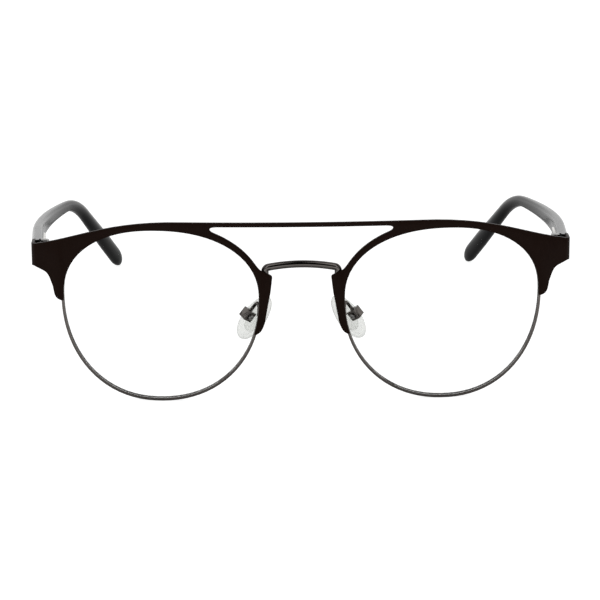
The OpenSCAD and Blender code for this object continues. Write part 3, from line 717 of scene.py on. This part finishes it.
def temple_frame(pin):
    """The spring box's own frame: y runs back along the temple from the pin."""
    turn = Matrix.Rotation(-TEMPLE_SPLAY, 4, "Z") @ Matrix.Rotation(-TEMPLE_SLOPE, 4, "X")
    return Matrix.Translation(pin) @ turn


def pocket_cutter(pin):
    """The pocket that the spring housing fills, open towards the head."""
    r = POCKET_H / 2
    outline = [(-POCKET_AHEAD, -r), (POCKET_BACK - r, -r)]
    for i in range(1, POCKET_STEPS):
        angle = math.radians(-90 + 180 * i / POCKET_STEPS)
        outline.append((POCKET_BACK - r + r * math.cos(angle), r * math.sin(angle)))
    outline += [(POCKET_BACK - r, r), (-POCKET_AHEAD, r)]
    return prism(outline, -POCKET_AHEAD, ROD_X + POCKET_W / 2, temple_frame(pin))


# Coil springs

SPRING_FROM = 3.1
SPRING_L = 9.6
SPRING_R = 0.66
SPRING_WIRE_R = 0.11
SPRING_TURNS = 10
COIL_STEPS = 24
COIL_SIDES = 10


def coil_spring(side):
    """Coil of round wire that is pressed between the housing's front wall and the nut on the rod."""
    place = temple_frame(JOINT_PLACES["temple_fold_left"])
    low = SPRING_FROM + 2 * SPRING_WIRE_R
    high = SPRING_FROM + SPRING_L - 2 * SPRING_WIRE_R
    count = SPRING_TURNS * COIL_STEPS
    path = []
    for i in range(count + 1):
        angle = 2 * math.pi * i / COIL_STEPS
        path.append(place @ Vector((ROD_X + SPRING_R * math.cos(angle), low + (high - low) * i / count,
                                    SPRING_R * math.sin(angle))))
    along = place.to_3x3() @ Vector((0, 1, 0))
    points, faces = loft(round_rings(path, lambda share: SPRING_WIRE_R, along, COIL_SIDES))
    node = "coil_spring_" + side
    piece = mesh_piece("spring_coil_" + side, mirrored(points, side), faces, node, rides=False)
    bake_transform(piece)
    return piece


# Lenses

LENS_X = 36.75
LENS_Z = 27.58
LENS_NOSE_W = 25.8
LENS_TEMPLE_W = 23.9
LENS_UP_H = 17.5
LENS_LOW_H = 26.9
# How square each quarter is, from the upper temple side over the top and round; 2 is a plain oval
LENS_EXPONENTS = (2.27, 2.2, 2.15, 2.15)
LENS_T = 1.4
LENS_MID = 1.72
TONGUE_W = 0.66
TONGUE_OUT = 0.28
SEAT_GAP = 0.02
WRAP_R = 350
LENS_SIDES = 120
# Degrees to either side between which the outline's direction is taken
EDGE_STEP = 0.5
# Rings of each face, as shares of the way from the middle to the edge
LENS_SHARES = (0.02, 0.2, 0.4, 0.6, 0.78, 0.92)


def lens_point(angle):
    """Point of the left lens's outline: four quarters of a rounded oval."""
    quarter = int(angle % 360 // 90)
    wide = LENS_TEMPLE_W if quarter in (0, 3) else LENS_NOSE_W
    high = LENS_UP_H if quarter < 2 else LENS_LOW_H
    c, s = math.cos(math.radians(angle)), math.sin(math.radians(angle))
    power = LENS_EXPONENTS[quarter]
    r = ((abs(c) / wide) ** power + (abs(s) / high) ** power) ** (-1 / power)
    return Vector((LENS_X + r * c, LENS_Z + r * s))


def lens_edge(angle, off):
    """Outline point moved outwards."""
    along = (lens_point(angle + EDGE_STEP) - lens_point(angle - EDGE_STEP)).normalized()
    return lens_point(angle) + off * Vector((along.y, -along.x))


def lens(side):
    """Clear lens: two faces that follow the front's wrap, and the tongue that sits in the rim's groove."""
    front, back = LENS_MID - LENS_T / 2, LENS_MID + LENS_T / 2
    near, deep = LENS_MID - TONGUE_W / 2, LENS_MID + TONGUE_W / 2
    edge = [(1, -SEAT_GAP, front), (1, -SEAT_GAP, near), (1, TONGUE_OUT, near),
            (1, TONGUE_OUT, deep), (1, -SEAT_GAP, deep), (1, -SEAT_GAP, back)]
    sections = [(share, -SEAT_GAP, front) for share in LENS_SHARES] + edge
    sections += [(share, -SEAT_GAP, back) for share in reversed(LENS_SHARES)]
    centre = Vector((LENS_X, LENS_Z))
    rings = []
    for share, off, depth in sections:
        ring = []
        for j in range(LENS_SIDES):
            x, z = centre + share * (lens_edge(360 * (j + 0.5) / LENS_SIDES, off) - centre)
            ring.append(Vector((x, MM_FRONT + WRAP_R - math.sqrt((WRAP_R - depth) ** 2 - x * x), z)))
        rings.append(ring)
    points, faces = loft(rings)
    return mesh_piece("lens_shell_" + side, mirrored(points, side), faces, "lens_" + side)


# Lower bridge

BRIDGE_DEPTH = 1.884
BRIDGE_R = 0.94
BRIDGE_ARCH_R = 46
BRIDGE_UP = 8.6
ELBOW_R = 1.04
LEG_X = 9.3
LEG_L = 2
LEG_SHARES = (0.5, 0.97, 1)
# The wire's ends are this share of its radius, for a broken edge
WIRE_END = 0.93
BRIDGE_SIDES = 32
ARCH_STEPS = 24
ELBOW_STEPS = 10


def lower_bridge():
    """Polished round wire: an arch with an elbow and a short leg at each end."""
    depth = MM_FRONT + BRIDGE_DEPTH
    turn = math.asin((LEG_X - ELBOW_R) / (BRIDGE_ARCH_R - ELBOW_R))
    arch_z = LENS_Z + BRIDGE_UP - BRIDGE_ARCH_R
    elbow = (LEG_X - ELBOW_R, arch_z + (BRIDGE_ARCH_R - ELBOW_R) * math.cos(turn))
    half = []
    for i in range(1, ARCH_STEPS + 1):
        angle = turn * (2 * i - 1) / (2 * ARCH_STEPS - 1)
        half.append((BRIDGE_ARCH_R * math.sin(angle), arch_z + BRIDGE_ARCH_R * math.cos(angle)))
    for i in range(1, ELBOW_STEPS + 1):
        angle = turn + (math.pi / 2 - turn) * i / ELBOW_STEPS
        half.append((elbow[0] + ELBOW_R * math.sin(angle), elbow[1] + ELBOW_R * math.cos(angle)))
    half += [(LEG_X, elbow[1] - LEG_L * share) for share in LEG_SHARES]
    path = [Vector((-x, depth, z)) for x, z in reversed(half)] + [Vector((x, depth, z)) for x, z in half]
    rings = round_rings(path, lambda share: BRIDGE_R * (WIRE_END if share in (0, 1) else 1),
                        Vector((0, 1, 0)), BRIDGE_SIDES)
    points, faces = loft(rings)
    return mesh_piece("bridge_wire", points, faces, "lower_bridge")


# Nose pads

# In the pad's own frame x points out of its back, y along its width and z along its length
PAD_L = 13.2
PAD_W = 7.5
PAD_X = 11.8
PAD_BACK = 9
PAD_DOWN = 7.5
PAD_LEAN = math.radians(37)
PAD_SPLAY = math.radians(38)
PAD_SIDES = 72
# How much wider the pad's lower end is than its middle would make it
PAD_EGG = 0.1
PAD_SHARP = 70
# Section of the pad from the middle of its face to the middle of its back: share of the outline, and x
PAD_SECTION = (
    (0.02, -1.28), (0.25, -1.25), (0.45, -1.17), (0.62, -1.03), (0.76, -0.82), (0.87, -0.54),
    (0.945, -0.2), (0.985, 0.15), (0.998, 0.45), (0.985, 0.74), (0.955, 0.95), (0.92, 1.05),
    (0.88, 1.07), (0.845, 1.0), (0.825, 0.86), (0.8, 0.74), (0.74, 0.68), (0.5, 0.65),
    (0.25, 0.64), (0.02, 0.64),
)


def pad_place():
    """Matrix from the left pad's own frame to the part's."""
    place = Matrix.Translation((PAD_X, MM_FRONT + PAD_BACK, LENS_Z - PAD_DOWN))
    return place @ Matrix.Rotation(-PAD_LEAN, 4, "Y") @ Matrix.Rotation(-PAD_SPLAY, 4, "Z")


def nose_pad(side):
    """Soft clear pad: a domed face, a rounded edge, and a back dished inside a raised border."""
    place = pad_place()
    rings = []
    for share, x in PAD_SECTION:
        ring = []
        for j in range(PAD_SIDES):
            angle = 2 * math.pi * j / PAD_SIDES
            y = -math.sin(angle) * (1 - PAD_EGG * math.cos(angle)) * PAD_W / 2
            z = math.cos(angle) * PAD_L / 2
            ring.append(place @ Vector((x, share * y, share * z)))
        rings.append(ring)
    points, faces = loft(rings)
    piece = mesh_piece("soft_pad_" + side, mirrored(points, side), faces, "nose_pad_" + side, PAD_SHARP)
    return piece


# Pad arms

ARM_R = 0.45
ARM_SIDES = 20
BOX_NEAR = 1.9
BOX_S = 2.6
RIM_T = 0.68
RIM_BACK = 2.62
ROOT_ANGLE = 191
# The wire's way back from the rim, its crown above the middle, and its way down into the box
ARM_FOOT = (0, 0.2, 0)
ARM_BACK = ((0, 0.4, 0), (0, 1.2, 0.6), (0, 1.6, 1.9))
ARM_CROWN = (-0.2, 0.1, 2)
ARM_DROP = 1.3
ARM_STEPS = 10
# How much the solder thickens the wire at the rim and at the box, and how fast that fades
RIM_SOLDER = (0.35, 22)
BOX_SOLDER = (0.3, 26)


def pad_arm(side):
    """Bent wire from the rim's back to the pad box, with a little solder at both ends."""
    root = lens_edge(ROOT_ANGLE, RIM_T / 2)
    sag = WRAP_R - math.sqrt(WRAP_R ** 2 - (root.x + ARM_R) ** 2)
    start = Vector((root.x, MM_FRONT + sag + RIM_BACK, root.y))
    box_middle = BOX_NEAR + BOX_S / 2
    end = pad_place() @ Vector((box_middle, 0, BOX_S / 2))
    before = pad_place() @ Vector((box_middle, 0, BOX_S / 2 + ARM_DROP))
    crown = (start + before) / 2 + Vector(ARM_CROWN)
    bends = [start + Vector(step) for step in ARM_BACK] + [crown, before, end]
    path = [start, start + Vector(ARM_FOOT)] + smooth_curve(bends, ARM_STEPS)

    def radius(share):
        at_rim = RIM_SOLDER[0] * math.exp(-share * RIM_SOLDER[1])
        at_box = BOX_SOLDER[0] * math.exp(-(1 - share) * BOX_SOLDER[1])
        return ARM_R * (1 + at_rim + at_box)

    points, faces = loft(round_rings(path, radius, Vector((1, 0, 0)), ARM_SIDES))
    return mesh_piece("arm_wire_" + side, mirrored(points, side), faces, "pad_arm_" + side)


# Main

scene_view = bpy.context.scene.view_settings
scene_view.view_transform = "Standard"

make_camera()
make_floor()
make_world()
for name, (place, size, power) in LAMPS.items():
    make_lamp(name, place, size, power)

# Nodes that a piece of their own replaces, but for the temples' wire cores
REPLACED = ("temple_", "nose_pad_", "pad_arm_", "lens_", "coil_spring_", "lower_bridge")
for node, piece in frame["nodes"].items():
    piece.data.materials.clear()
    piece.data.materials.append(MATERIALS[SLOTS[node]])
    if node.startswith("temple_core") or not node.startswith(REPLACED):
        soften(piece)

lower_bridge()
for side in SIDES:
    lens(side)
    temple(side)
    coil_spring(side)
    nose_pad(side)
    pad_arm(side)
